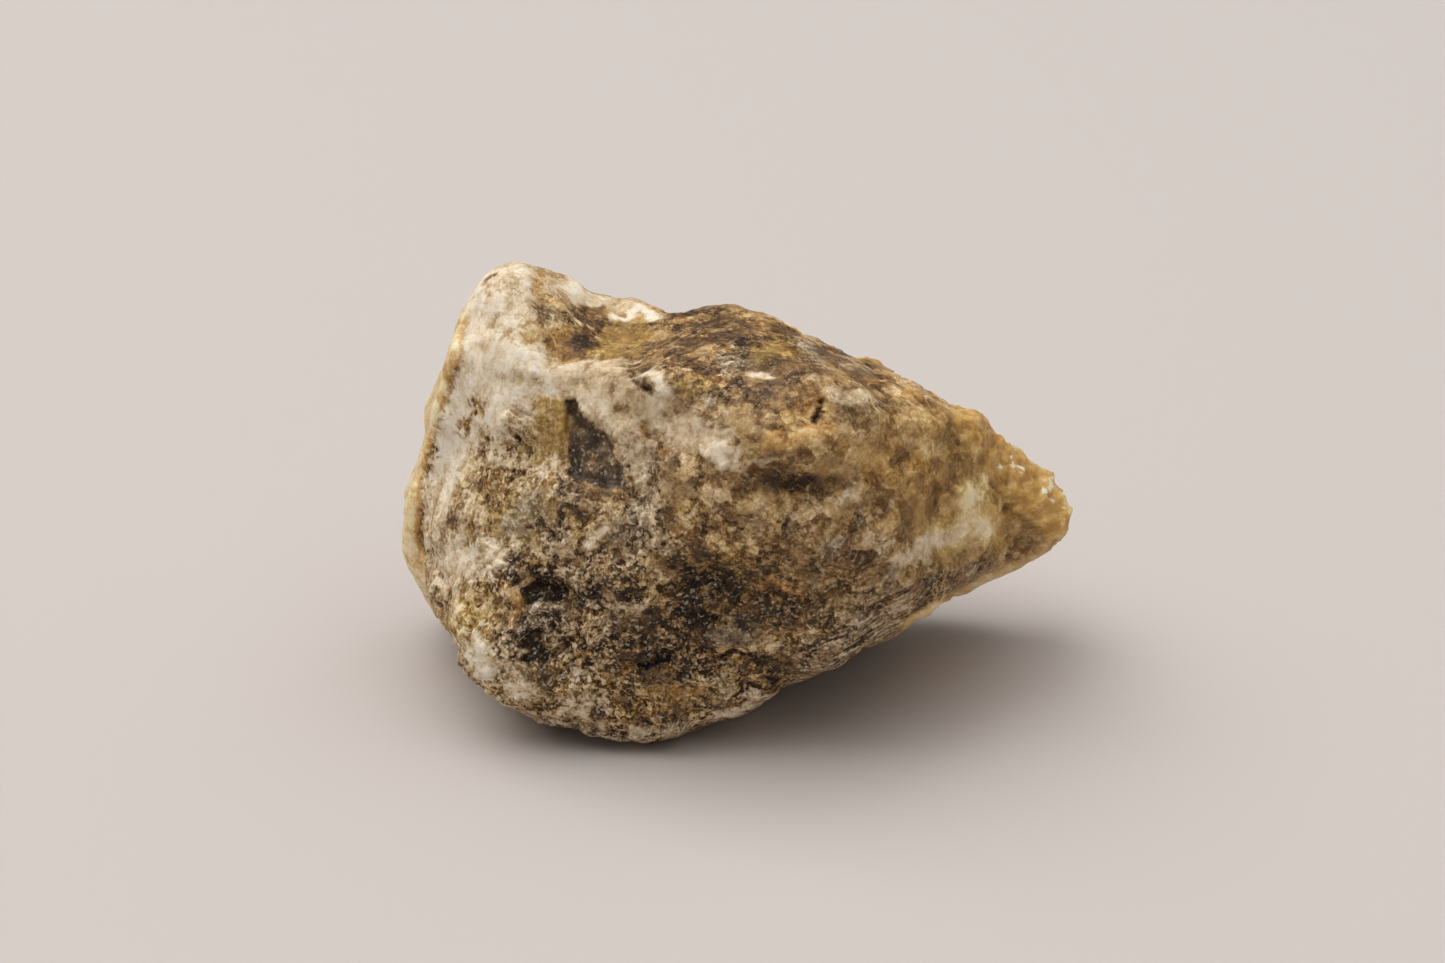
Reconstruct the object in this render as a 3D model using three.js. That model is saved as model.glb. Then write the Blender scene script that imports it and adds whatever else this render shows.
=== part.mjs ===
// A rough lump of orchid calcite: a weathered brown and white crust on a slab of clear honey
// calcite, broken from a vein. Millimetres, +Z up. The origin is the middle of the small flat
// spot that the lump rests on, +X runs along its length to the point, and -Y is the crust side.

import * as THREE from "three";
import { mergeVertices } from "three/addons/utils/BufferGeometryUtils.js";
import { ImprovedNoise } from "three/addons/math/ImprovedNoise.js";

const { degToRad, smoothstep, lerp } = THREE.MathUtils;

const HEART = new THREE.Vector3(3, 0, 19); // the point that every face is measured from
const SPREAD = new THREE.Vector3(34, 20, 20); // rough half sizes, which space the triangles evenly
const SPINE = 15; // half length of the line inside the lump that the skin is measured out from
const FURTHEST = 50; // farther from the spine than any of the skin
const DETAIL = 19; // cuts of each icosahedron edge
const HALVINGS = 24;
const WORN_EDGE = 1.3; // rounding where two weathered faces meet
const FRESH_EDGE = 0.4; // rounding where the stone broke clean
const FRESH_FROM = 19; // along X, the crust's edges sharpen from here
const FRESH_BY = 29; // to here

// Broken faces. Azimuth turns from +X towards +Y, elevation is above level, and reach is how far
// the face lies from the heart.
const BELLY = [
  { name: "belly left", azimuth: 180, elevation: -72, reach: 23.3 },
  { name: "belly right", azimuth: 0, elevation: -72, reach: 21.2 },
  { name: "belly back", azimuth: 90, elevation: -70, reach: 20.5 },
  { name: "base", azimuth: 0, elevation: -90, reach: 19.6 },
];
const CRUST = [
  { name: "left fibres", azimuth: 197, elevation: 18, reach: 24.5 },
  { name: "horn left", azimuth: 164, elevation: 28, reach: 29 },
  { name: "left end", azimuth: 185, elevation: -5, reach: 28.6 },
  { name: "left foot", azimuth: 198, elevation: -28, reach: 26.9 },
  { name: "left heel", azimuth: 216, elevation: -46, reach: 26.4 },
  { name: "front left", azimuth: 239, elevation: 26, reach: 15.4 },
  { name: "front", azimuth: 268, elevation: -4, reach: 14.6 },
  { name: "brow", azimuth: 284, elevation: 33, reach: 21.5 },
  { name: "front right", azimuth: 322, elevation: 18, reach: 22.6 },
  { name: "front heel", azimuth: 266, elevation: -60, reach: 25.4 },
  { name: "undercut", azimuth: 320, elevation: -50, reach: 18 },
  { name: "top", azimuth: 90, elevation: 84, reach: 18.3 },
  { name: "right slope", azimuth: 36, elevation: 56, reach: 19.8 },
  { name: "point", azimuth: 24, elevation: 37, reach: 24.4 },
  { name: "back", azimuth: 90, elevation: 8, reach: 13 },
  ...BELLY,
];
const VEIN = [
  { name: "front", azimuth: 268, elevation: 4, reach: 0.5 },
  { name: "point front", azimuth: 317, elevation: 42, reach: 18.4 },
  { name: "left end", azimuth: 174, elevation: 0, reach: 29.3 },
  { name: "left foot", azimuth: 200, elevation: -28, reach: 26.8 },
  { name: "left heel", azimuth: 214, elevation: -46, reach: 26.2 },
  { name: "upper left", azimuth: 172, elevation: 16, reach: 27.4 },
  { name: "horn left", azimuth: 162, elevation: 29, reach: 29.2 },
  { name: "top", azimuth: 90, elevation: 76, reach: 16.4 },
  { name: "right slope", azimuth: 44, elevation: 54, reach: 18.2 },
  { name: "point", azimuth: 22, elevation: 37, reach: 26.4 },
  { name: "point end", azimuth: 350, elevation: -20, reach: 32.6 },
  { name: "undercut", azimuth: 317, elevation: -52, reach: 17.7 },
  { name: "back", azimuth: 96, elevation: 4, reach: 17.5 },
  { name: "back upper", azimuth: 78, elevation: 42, reach: 19.5 },
  { name: "back lower", azimuth: 104, elevation: -38, reach: 20.5 },
  { name: "back left", azimuth: 138, elevation: 2, reach: 26.5 },
  { name: "back right", azimuth: 52, elevation: -12, reach: 22.5 },
  ...BELLY,
];

// Lumps and hollows: height is outwards, and a negative one is a hollow.
const LUMPS = [
  { name: "horn", at: [-15.8, 7.5, 38.5], size: [4.2, 6, 6], height: 6.5 },
  { name: "shoulder", at: [-16, -1.5, 32.5], size: [4.5, 4, 4.5], height: 1.9 },
  { name: "horn shoulder", at: [-9.5, 13, 37], size: [4.6, 4, 4], height: 2.4 },
  { name: "saddle", at: [-4.5, 13, 35], size: [4, 3.5, 3], height: 0.9 },
  { name: "bowl", at: [-6.5, 4.5, 36], size: [5.5, 3.8, 4], height: -2.4 },
  { name: "bowl crystal", at: [-9, 5.5, 35], size: [1.8, 2, 2.5], height: 1.3 },
  { name: "bowl lip", at: [-8, -0.5, 37], size: [6, 3.5, 3], height: -1.4 },
  { name: "top bump", at: [5, 12, 35], size: [3.5, 3, 3], height: 0.9 },
  { name: "olive hollow", at: [-12, -3.5, 30], size: [3, 3, 5], height: -0.9 },
  { name: "cleft", at: [-3.2, -1, 34.3], size: [1, 2, 2], height: -1 },
  { name: "upper pit", at: [-11, -9.5, 16], size: [4, 4, 2.4], height: -1.7 },
  { name: "lower pit", at: [-11, -11.3, 10.5], size: [4, 4, 2.2], height: -1.4 },
  { name: "brow ridge", at: [10, -11, 33], size: [6, 3, 2.5], height: 1.3 },
  { name: "brow pit", at: [13.4, -7.8, 34.2], size: [2, 2.2, 2.5], height: -1.4 },
  { name: "cheek hollow", at: [11.6, -14.6, 29], size: [4, 4, 3], height: -1 },
  { name: "front hollow", at: [3.5, -13, 20.3], size: [6, 4, 2.2], height: -1.2 },
  { name: "pebble", at: [5.4, -13.3, 13.1], size: [1.6, 1.6, 1.2], height: 0.8 },
  { name: "left notch", at: [-22.5, 0, 10.2], size: [2, 2.4, 1.4], height: -1.5 },
  { name: "point shelf", at: [27.2, 3.7, 28.1], size: [2, 2.4, 1.6], height: 0.9 },
];

// The crust is lumpy at these sizes.
const ROUGHNESS = [
  { wavelength: 8.5, height: 1.1, seed: 0.4 },
  { wavelength: 4, height: 0.8, seed: 9.1 },
];

// Cleavage ledges of the vein: along each pitch the skin sinks by the drop, then steps back out
// over the riser's share of the pitch.
const LEDGES = [
  { azimuth: 15, elevation: 25, pitch: 6.4, drop: 1.1 },
  { azimuth: 105, elevation: 65, pitch: 7.8, drop: 1 },
];
const RISER = 0.16;
const WANDER = { wavelength: 12, height: 0.7, seed: 3.7 }; // bends the ledges, in pitches
const QUIET_LEFT = { from: -20, to: -8, share: 0.5 }; // the ledges are shallower at both ends
const QUIET_POINT = { from: 16, to: 26, share: 0.2 };

function withNormal(face) {
  const azimuth = degToRad(face.azimuth);
  const elevation = degToRad(face.elevation);
  const across = new THREE.Vector3(Math.cos(azimuth), Math.sin(azimuth), 0);
  return { ...face, normal: across.multiplyScalar(Math.cos(elevation)).setZ(Math.sin(elevation)) };
}
const crust = CRUST.map(withNormal);
const vein = VEIN.map(withNormal);
const ledges = LEDGES.map(withNormal);
const lumps = LUMPS.map((lump) => ({
  height: lump.height,
  at: new THREE.Vector3(...lump.at),
  size: new THREE.Vector3(...lump.size),
}));

const perlin = new ImprovedNoise();
function noise(p, { wavelength, height, seed }) {
  const q = p.clone().divideScalar(wavelength).addScalar(seed);
  return height * perlin.noise(q.x, q.y, q.z);
}

// Above zero outside a body with these faces, below zero inside, and about mm near its skin.
function outsideFaces(faces, q, edge) {
  let sum = 0;
  for (const face of faces) sum += Math.exp((q.dot(face.normal) - face.reach) / edge);
  return edge * Math.log(sum);
}

function ledgeDepth(q) {
  const wander = noise(q, WANDER);
  let depth = 0;
  for (const { normal, pitch, drop } of ledges) {
    const turns = q.dot(normal) / pitch + wander;
    const along = turns - Math.floor(turns);
    depth += drop * (Math.min(along, ((1 - along) * (1 - RISER)) / RISER) - 0.5);
  }
  const left = lerp(QUIET_LEFT.share, 1, smoothstep(q.x, QUIET_LEFT.from, QUIET_LEFT.to));
  const point = lerp(1, QUIET_POINT.share, smoothstep(q.x, QUIET_POINT.from, QUIET_POINT.to));
  return depth * left * point;
}

function outside(p) {
  const q = p.clone().sub(HEART);
  const edge = lerp(WORN_EDGE, FRESH_EDGE, smoothstep(p.x, FRESH_FROM, FRESH_BY));
  let fromCrust = outsideFaces(crust, q, edge);
  for (const size of ROUGHNESS) fromCrust += noise(p, size);
  const fromVein = outsideFaces(vein, q, FRESH_EDGE) + ledgeDepth(q);
  let distance = Math.min(fromCrust, fromVein);
  for (const { at, size, height } of lumps) {
    distance -= height * Math.exp(-p.clone().sub(at).divide(size).lengthSq());
  }
  return distance;
}

// Finds the skin along a direction from a point on the spine.
function skinAlong(start, direction) {
  const p = new THREE.Vector3();
  let near = 0;
  let far = FURTHEST;
  for (let i = 0; i < HALVINGS; i++) {
    const middle = (near + far) / 2;
    p.copy(start).addScaledVector(direction, middle);
    if (outside(p) > 0) far = middle;
    else near = middle;
  }
  return p;
}

// Moves each point of a finely cut ball out to the skin, and cuts the bottom off flat.
function lumpGeometry() {
  const ball = new THREE.IcosahedronGeometry(1, DETAIL);
  ball.deleteAttribute("normal");
  ball.deleteAttribute("uv");
  const skin = mergeVertices(ball);
  const position = skin.getAttribute("position");
  const start = HEART.clone();
  const direction = new THREE.Vector3();
  for (let i = 0; i < position.count; i++) {
    start.x = HEART.x + SPINE * position.getX(i);
    direction.fromBufferAttribute(position, i).multiply(SPREAD).add(HEART).sub(start).normalize();
    const p = skinAlong(start, direction);
    position.setXYZ(i, p.x, p.y, Math.max(p.z, 0));
  }
  skin.computeVertexNormals();
  return skin;
}

const honeyBrown = new THREE.MeshStandardMaterial({ color: 0xa98a5c, roughness: 0.75, metalness: 0 });
const calcite = new THREE.Mesh(lumpGeometry(), honeyBrown);
calcite.name = "calcite";

const specimen = new THREE.Group();
specimen.add(calcite);
export default specimen;
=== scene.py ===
import math
from itertools import product

import bmesh
import bpy
import numpy as np
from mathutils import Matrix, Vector, noise


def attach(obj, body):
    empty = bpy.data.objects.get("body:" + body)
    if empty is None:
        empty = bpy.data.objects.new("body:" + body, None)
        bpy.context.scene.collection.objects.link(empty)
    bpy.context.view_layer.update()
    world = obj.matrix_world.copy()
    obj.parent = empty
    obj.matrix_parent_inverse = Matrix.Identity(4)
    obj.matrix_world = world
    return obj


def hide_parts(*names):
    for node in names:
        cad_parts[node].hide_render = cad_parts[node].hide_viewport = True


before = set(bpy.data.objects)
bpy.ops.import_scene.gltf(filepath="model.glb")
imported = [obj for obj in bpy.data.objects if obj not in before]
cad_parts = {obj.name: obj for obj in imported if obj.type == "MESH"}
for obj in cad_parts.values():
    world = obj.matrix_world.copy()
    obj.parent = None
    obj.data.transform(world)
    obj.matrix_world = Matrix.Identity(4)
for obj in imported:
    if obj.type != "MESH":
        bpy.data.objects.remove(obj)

scene = bpy.context.scene
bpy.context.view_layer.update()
print("frame loaded:", sorted(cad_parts))

mm = 0.001

# The front is looked at from a little above. Places on it are given in mm right of and above
# the heart of the lump, as seen along this direction.
frontLook = {
    "heart": (3.0, 0.0, 19.0),  # mm
    "pitch": 28.0,  # degrees above level
    "distance": 452.0,  # mm from the heart to the camera
    "aim": (1.19, 3.18),  # mm right of and above the heart, at the middle of the view
    "lens": 118.5,
    "sensor": 36.0,
}
pitch = math.radians(frontLook["pitch"])
rightAxis = np.array((1.0, 0.0, 0.0))
upAxis = np.array((0.0, math.sin(pitch), math.cos(pitch)))
nearAxis = np.array((0.0, -math.cos(pitch), math.sin(pitch)))


def smooth(value, low, high):
    share = np.clip((value - low) / (high - low), 0, 1)
    return share * share * (3 - 2 * share)


def mixed(a, b, share):
    return a + (b - a) * share


def bell(value, width):
    return np.exp(-(value / width) ** 2)


def bearing(azimuth, elevation):
    a, e = math.radians(azimuth), math.radians(elevation)
    return np.array((math.cos(a) * math.cos(e), math.sin(a) * math.cos(e), math.sin(e)))


def noiseAt(points, size, octaves, seed):
    spots = points / size + seed
    return np.array([noise.fractal(p, 0.8, 2.1, octaves) for p in spots.tolist()])


def cellRandom(cell, salt):
    wave = np.sin(cell @ np.array((12.99, 78.23, 37.72)) + salt * 5.31) * 4375.85
    return wave - np.floor(wave)


def cellPoint(cell, salt=0):
    return np.stack([cellRandom(cell, salt + turn) for turn in range(3)], 1)


def chipsAt(points, size, seed, keenness=16.0):
    # broken blocks: every cell has its own height and tilt, and a tone from 0 to 1
    spots = points / size + seed
    home = np.floor(spots)
    total, rise, tone = np.zeros((3, len(points)))
    for step in product((-1, 0, 1), repeat=3):
        cell = home + step
        away = spots - cell - cellPoint(cell)
        tilt = cellPoint(cell, 3) - 0.5
        share = np.exp(-keenness * (away**2).sum(1))
        total += share
        rise += share * (cellRandom(cell, 6) - 0.5 + 1.8 * (away * tilt).sum(1))
        tone += share * cellRandom(cell, 7)
    return rise / total, tone / total


# Lines across the front, each as its right and up places in mm.
frontLines = {
    "slab": ([-27.6, -27.4, -26.7, -25.7, -24.8, -23.7, -23.4, -22.2, -21.1],
             [-0.9, 2.4, 5.5, 8.8, 11.9, 14.7, 17.4, 20.2, 23.0]),
    "slabLow": ([-27.6, -27.7, -26.7, -25.7, -24.9, -25.3], [-0.9, -2.4, -4.0, -5.7, -7.1, -9.0]),
    "crease": ([7.3, 9.5, 12.8, 17.3, 21.2, 26.8, 30.4, 35],
               [-15.7, -12.3, -10.1, -6.9, -5.6, -3.9, -2.0, 0]),
    "bandFoot": ([8, 10.5, 14.7, 17.1, 20.1, 25, 29.3, 33],
                 [-15.8, -14.8, -12.6, -11.2, -8.8, -6.3, -4.2, -2]),
    "point": ([21.0, 22.5, 25.5, 28.1, 30.6, 34.0], [14.0, 10.5, 4.8, 1.05, -0.7, -5.0]),
}

# How much of each finish's parts is there: tone is dark to light, pale is white crystal, dark
# is black dirt, gold is rusty stain, and clear is honey calcite that light goes into.
finishes = {
    "cream": dict(tone=0.64, pale=0.88, gold=0.2),
    # paler than cream: partly painted light, as the left face is turned to the light
    "leftCream": dict(tone=1.08, pale=1.05, gold=0.2),
    "creamLow": dict(tone=0.34, pale=0.76, gold=0.3),
    "yellowOlive": dict(tone=0.74, olive=0.8, gold=0.2, pale=0.25, clear=0.2),
    "white": dict(tone=0.85, pale=1.0, grey=0.3),
    "whiteGrey": dict(tone=0.54, pale=0.66, grey=0.4, gold=0.15),
    "greyCream": dict(tone=0.6, pale=0.5, grey=0.55),
    "whiteCream": dict(tone=0.74, pale=0.92, grey=0.15),
    "umber": dict(tone=0.44, pale=0.2, dark=0.34, grey=0.15, gold=0.3, olive=0.25),
    "goldTan": dict(tone=0.68, pale=0.2, gold=0.5, olive=0.35),
    "honeyTan": dict(tone=0.47, pale=0.08, gold=0.5, olive=0.5, dark=0.1, clear=0.25, smooth=0.15),
    "tanBrown": dict(tone=0.44, pale=0.08, gold=0.5, olive=0.3, dark=0.15, smooth=0.15),
    "plumBrown": dict(tone=0.36, pale=0.1, gold=0.25, grey=0.3, dark=0.25, smooth=0.15),
    "beige": dict(tone=0.62, pale=0.6, gold=0.25, grey=0.1),
    "tan": dict(tone=0.75, pale=0.25, gold=0.3),
    "pinkTan": dict(tone=0.6, pale=0.35, gold=0.1, grey=0.35),
    # partly painted shade: darker since the band faces down, the rest is the needles' own colour
    "needles": dict(tone=0.36, pale=0.3, dark=0.3, gold=0.15, grey=0.25),
    "creamHoney": dict(tone=0.94, pale=0.35, gold=0.25, olive=0.7, clear=0.4, smooth=0.5),
    "honey": dict(tone=0.52, gold=0.15, clear=0.9, smooth=0.4),
    "yellowGlass": dict(tone=0.75, olive=0.5, pale=0.2, clear=0.8),
    "glassOlive": dict(tone=0.42, olive=0.95, grey=0.15, pale=0.08, clear=0.3, smooth=0.45),
    "brownGlass": dict(tone=0.42, olive=0.3, gold=0.6, clear=0.3, smooth=0.3),
    "brownGlassDark": dict(tone=0.2, gold=0.35, dark=0.35, smooth=0.3),
    "honeyGlass": dict(tone=0.36, olive=0.9, gold=0.1, clear=0.3, smooth=0.35),
    "paleGlass": dict(tone=0.72, olive=0.5, pale=0.3, clear=0.3, smooth=0.3),
    "greyGlass": dict(tone=0.42, olive=0.4, grey=0.6, pale=0.1, smooth=0.7),
    "slabTan": dict(tone=0.8, gold=0.4, pale=0.15, clear=0.3, smooth=1.0),
    # painted shade for the groove beside the slab
    "seamShade": dict(tone=0.35, dark=0.45, grey=0.4, gold=0.1, smooth=0.3),
    "lilac": dict(tone=0.55, grey=0.75, pale=0.25, smooth=0.3),
    "olive": dict(tone=0.5, olive=0.8, gold=0.1),
    "honeyOlive": dict(tone=0.2, olive=0.8, gold=0.4, dark=0.1),
    "greyOlive": dict(tone=0.6, olive=1.0, grey=0.6, pale=0.15, smooth=0.6),
    "darkOlive": dict(tone=0.24, olive=0.5, gold=0.1, dark=0.58),
    "gold": dict(tone=0.42, gold=0.45, olive=0.5),
    "orange": dict(tone=0.75, gold=1.0),
    "orangeCream": dict(tone=0.58, gold=0.95, pale=0.16),
    "rust": dict(tone=0.22, gold=0.6, dark=0.35),
    "brown": dict(tone=0.29, dark=0.35, gold=0.15),
    "plum": dict(tone=0.4, grey=0.4, dark=0.35),
    "darkBrown": dict(tone=0.2, dark=0.7),
    "black": dict(tone=0.2, dark=0.95, grey=0.2),
    "slate": dict(tone=0.3, dark=0.55, grey=0.7),
    "slateBrown": dict(tone=0.24, dark=0.55, grey=0.4, smooth=0.8),
    "grey": dict(tone=0.6, grey=0.9, pale=0.2),
    "speckled": dict(tone=0.42, pale=0.27, dark=0.46, grey=0.4, gold=0.15),
}

# Patches of finish, each laid over those above it: name, finish, right and up, half width and
# height, tilt and strength, in mm and degrees as seen from the front
patches = [
    ("left fibres", "leftCream", -23.2, 12.1, 4, 13.3, -13, 1),
    ("left face", "beige", -25.1, -1.9, 3.4, 5.7, 0, 0.7),
    ("right glow", "honeyTan", 20.9, 2.4, 9.5, 8.1, -10, 0.95),
    ("right shade", "plumBrown", 15, -0.5, 4.2, 4.9, 0, 0.6),
    ("cheek", "gold", 11.9, 10, 5.3, 4, 0, 0.7),
    ("hump", "brown", 1.1, 15.7, 8.7, 4.6, 0, 0.95),
    ("left half", "umber", -10.4, -0.5, 11.4, 11.4, 0, 0.6),
    ("shoulder", "cream", -18.8, 14.7, 5.9, 7.6, 0, 1),
    ("horn", "beige", -18.4, 21.4, 2.9, 2.7, 0, 0.9),
    ("horn groove", "orange", -16.1, 21.9, 0.8, 1.3, 0, 1),
    ("rim", "cream", -11.6, 20.9, 4, 1.1, -14, 0.9),
    ("rim", "white", -13.1, 20.7, 1.7, 0.5, 5, 1),
    ("rim bumps", "olive", -5.9, 19.4, 1.5, 0.5, 0, 0.9),
    ("notch", "white", -7.4, 18.8, 3.2, 0.5, 0, 1),
    ("bowl", "plum", -15.5, 19.5, 1.6, 0.8, 0, 0.9),
    ("bowl honey", "goldTan", -16.2, 17.2, 2.9, 1.3, -4, 0.95),
    ("bowl honey", "gold", -11.8, 15.6, 2.9, 0.8, 5, 0.85),
    ("bowl seam", "white", -16.1, 16.1, 0.3, 1.6, -15, 0.8),
    ("crest", "creamLow", -10.9, 14.3, 5.5, 0.8, 3, 1),
    ("hump", "plum", -4.6, 16.1, 2.1, 1.2, 0, 0.65),
    ("hump", "brown", -0.2, 17.6, 4, 2.1, -5, 0.9),
    ("hump", "darkBrown", -0.9, 18.1, 3.2, 1.3, 0, 0.6),
    ("hump", "rust", 4, 17.6, 1.1, 0.9, 0, 0.7),
    ("hump rim", "goldTan", 5.5, 18.8, 3.4, 0.7, -14, 0.9),
    ("hump rim", "cream", 7.8, 18.1, 2.9, 0.4, -20, 0.7),
    ("hump", "honeyOlive", 6.2, 16.1, 3.2, 1.9, -20, 0.95),
    ("hump", "olive", 5.5, 16.1, 1.3, 0.9, -10, 0.6),
    ("hump", "grey", 9.3, 15.6, 1.4, 1.5, -10, 0.9),
    ("hump end", "slate", 11.7, 16.4, 1.5, 0.5, -28, 0.8),
    ("hump", "plum", 1.7, 14.3, 3, 1.3, -8, 0.9),
    ("streaks", "gold", 0.2, 15.5, 2.3, 0.5, 8, 0.6),
    ("streaks", "gold", 0.2, 12.3, 3.8, 0.9, 0, 0.7),
    ("streaks", "grey", 0.2, 11, 2.7, 0.3, 8, 0.8),
    ("streaks", "darkBrown", 2.4, 11.6, 3.2, 0.9, 0, 0.85),
    ("front", "plum", -1.9, 10.2, 2.9, 0.7, 5, 0.6),
    ("white tooth", "white", 5.2, 13.1, 0.8, 0.6, 0, 1),
    ("hump shade", "plumBrown", 10.6, 13.6, 3.2, 1.9, -25, 0.75),
    ("cheek top", "rust", 9.5, 12.4, 1.6, 0.9, -10, 0.8),
    ("pink shelf", "pinkTan", 12.8, 11.4, 2.7, 1.2, -10, 0.9),
    ("top edge", "plum", 14.4, 14, 1.7, 0.9, -30, 0.7),
    ("top edge", "grey", 13.3, 15.7, 1.3, 0.5, -30, 0.7),
    ("top edge", "rust", 16.1, 12.3, 1.5, 0.9, -30, 0.6),
    ("top", "orange", 19.2, 11.5, 1.5, 0.9, -10, 0.9),
    ("top", "plum", 17.1, 10.5, 1.3, 0.9, -20, 0.8),
    ("crystal", "white", -4.9, 12.8, 1.7, 1.4, -35, 1),
    ("cleft", "black", -6.2, 13, 0.4, 1.1, 30, 1),
    ("crystal", "pinkTan", -4.9, 10.8, 0.8, 0.5, 0, 0.8),
    ("crack", "darkBrown", -5.3, 12.3, 0.4, 0.8, 35, 0.6),
    ("front white", "creamLow", -10.4, 10.9, 5.9, 3.2, -8, 0.82),
    ("front veil", "whiteGrey", -6.7, 9, 5.7, 3.8, -20, 0.5),
    ("front low", "whiteGrey", -6.7, 8.6, 2.5, 1.3, -10, 0.55),
    ("centre", "cream", -1.5, 8.5, 3.8, 1.3, -4, 0.95),
    ("centre", "whiteGrey", -4, 9, 1.3, 1.5, 0, 0.6),
    ("white blob", "whiteCream", 1, 6, 1.2, 1.2, 0, 0.75),
    ("centre", "darkBrown", 3.3, 3.3, 2.1, 1.3, 0, 0.6),
    ("blob tail", "white", 2.2, 4.7, 0.6, 0.9, 20, 0.6),
    ("brow", "orangeCream", 8.1, 7.4, 4, 0.9, 8, 0.95),
    ("brow", "orange", 9.8, 9, 0.9, 1.3, -10, 0.6),
    ("brow", "orangeCream", 12, 8.6, 1.3, 0.9, 0, 0.6),
    ("brow", "rust", 9.1, 10.4, 2.1, 0.8, 20, 0.6),
    ("brow", "brown", 5.2, 11.7, 2.9, 1.1, 0, 0.7),
    ("brow pit", "darkBrown", 10.4, 9.6, 0.5, 1, -8, 1),
    ("under brow", "darkBrown", 8.2, 3.4, 4, 2.4, -5, 0.85),
    ("under brow", "black", 8.6, 2.6, 0.8, 2.1, -5, 0.8),
    ("under brow", "gold", 4.5, 5, 1.7, 1.1, 0, 0.6),
    ("right gold", "honeyTan", 16.6, 5.7, 3.2, 2.7, -20, 0.7),
    ("right rust", "tanBrown", 15.4, 7.4, 1.1, 1.1, 0, 0.7),
    ("right", "plumBrown", 14.2, 8.3, 1.5, 2.1, 0, 0.6),
    ("right", "honeyTan", 20.7, 8.6, 2.3, 1.7, -30, 0.8),
    ("right white", "creamHoney", 20, 6.6, 0.7, 1.1, 35, 0.9),
    ("right", "tanBrown", 19.8, 3.3, 3.2, 2.5, -30, 0.8),
    ("right low", "tanBrown", 18.5, 0, 3.2, 1.5, 10, 0.7),
    ("right low", "plumBrown", 15, -3.3, 3.8, 2.3, 20, 0.85),
    ("right mid", "plumBrown", 23.3, 2.2, 0.9, 1.5, 0, 0.5),
    ("pale strip", "creamHoney", 25.2, 2.6, 1.1, 2.7, -25, 0.95),
    ("pale corner", "creamHoney", 24.2, -1.2, 4.4, 2.7, 22, 1),
    ("pale streak", "cream", 20.4, -3.1, 3.8, 1.1, 28, 0.9),
    ("grey streak", "lilac", 12.9, 2.4, 0.8, 2.1, -8, 0.8),
    ("grey streak", "lilac", 11.6, -3.1, 0.9, 1.7, -10, 0.85),
    ("grey streak", "lilac", 10.1, -6, 1, 2.1, -12, 0.8),
    ("grey blot", "lilac", 7.6, -0.8, 1.1, 0.8, 0, 0.8),
    ("grey blot", "lilac", 6.9, -5.2, 0.7, 0.8, 0, 0.7),
    ("right white", "lilac", 17.4, -5, 0.9, 0.9, 0, 0.8),
    ("centre", "tan", 3.3, 0.9, 1.7, 2.9, 0, 0.5),
    ("centre", "darkBrown", 0.6, 3.5, 0.9, 1.5, 0, 0.7),
    ("right mid", "plumBrown", 8.6, -4.3, 3.8, 3.8, 0, 0.4),
    ("centre", "darkBrown", -3.6, 3.5, 2.5, 1.7, 10, 0.5),
    ("centre", "olive", -1.7, 0.9, 1.7, 0.9, 15, 0.8),
    ("centre", "brown", 6.7, -2.4, 2.7, 1.5, 0, 0.6),
    ("facet", "whiteGrey", -8.9, 7.1, 0.8, 3.4, -5, 0.8),
    ("streaks", "speckled", -6.3, 5.4, 2.5, 2.5, 0, 0.8),
    ("window", "olive", -17.9, 6, 2.5, 1.3, 15, 0.8),
    ("window corner", "orange", -18.7, 9, 1, 0.8, -20, 0.9),
    ("window corner", "darkBrown", -18.2, 8, 0.9, 0.4, 20, 0.8),
    ("plum streak", "plum", -22.4, 3.3, 2.1, 0.6, 35, 0.35),
    ("ochre streak", "gold", -22.4, 9.8, 0.5, 1.9, -12, 0.7),
    ("left ochre", "tan", -22.8, 1.4, 2.5, 3.8, 0, 0.3),
    ("under window", "beige", -20.3, 6.6, 3.8, 2.3, -5, 0.6),
    ("purple spot", "plum", -24.5, -0.5, 1.2, 1.5, -20, 0.95),
    ("brown spot", "brown", -21.3, -0.5, 0.9, 0.8, 0, 0.6),
    ("ribs", "greyOlive", -17.3, 0.1, 2.9, 3.4, -12, 1),
    ("ribs", "gold", -20.2, 0.3, 0.9, 1.9, -12, 0.6),
    ("ribs", "cream", -19.9, -2.4, 2.5, 0.4, 5, 0.7),
    ("mid", "speckled", -14.5, -1.4, 1.9, 2.3, 0, 0.95),
    ("mid", "orange", -11.2, 2.4, 0.9, 0.9, 0, 0.7),
    ("mid", "tan", -12.9, -2.4, 0.4, 3.4, 0, 0.8),
    ("mid", "white", -11, -1.6, 0.9, 0.9, 20, 0.8),
    ("mid", "slate", -8.6, -1.4, 1.3, 2.1, 0, 0.6),
    ("mid", "speckled", -6.7, 0, 1.7, 3.2, 0, 0.7),
    ("mid low", "darkBrown", -10.1, -4.3, 2.1, 1.5, 0, 0.6),
    ("pit", "white", -13.9, -5.2, 0.9, 0.8, 25, 1),
    ("pit field", "speckled", -14.4, -9.5, 4.8, 5.5, -20, 0.6),
    ("pit ground", "slate", -16.1, -9.8, 2.5, 5.1, -6, 0.6),
    ("pit rim", "orange", -18.6, -8.6, 0.5, 2.7, 0, 0.75),
    ("pit haze", "darkBrown", -17.1, -5.2, 2.9, 1.1, 0, 0.7),
    ("pit ledge", "grey", -15.5, -8.6, 1.7, 0.6, 3, 0.95),
    ("pit ledge", "slate", -15, -10, 2.1, 1.1, 10, 0.8),
    ("pit low", "darkBrown", -15.7, -14.9, 2.5, 1.7, 10, 0.75),
    ("pit low", "white", -16.6, -11.9, 0.8, 0.6, 20, 0.8),
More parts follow.
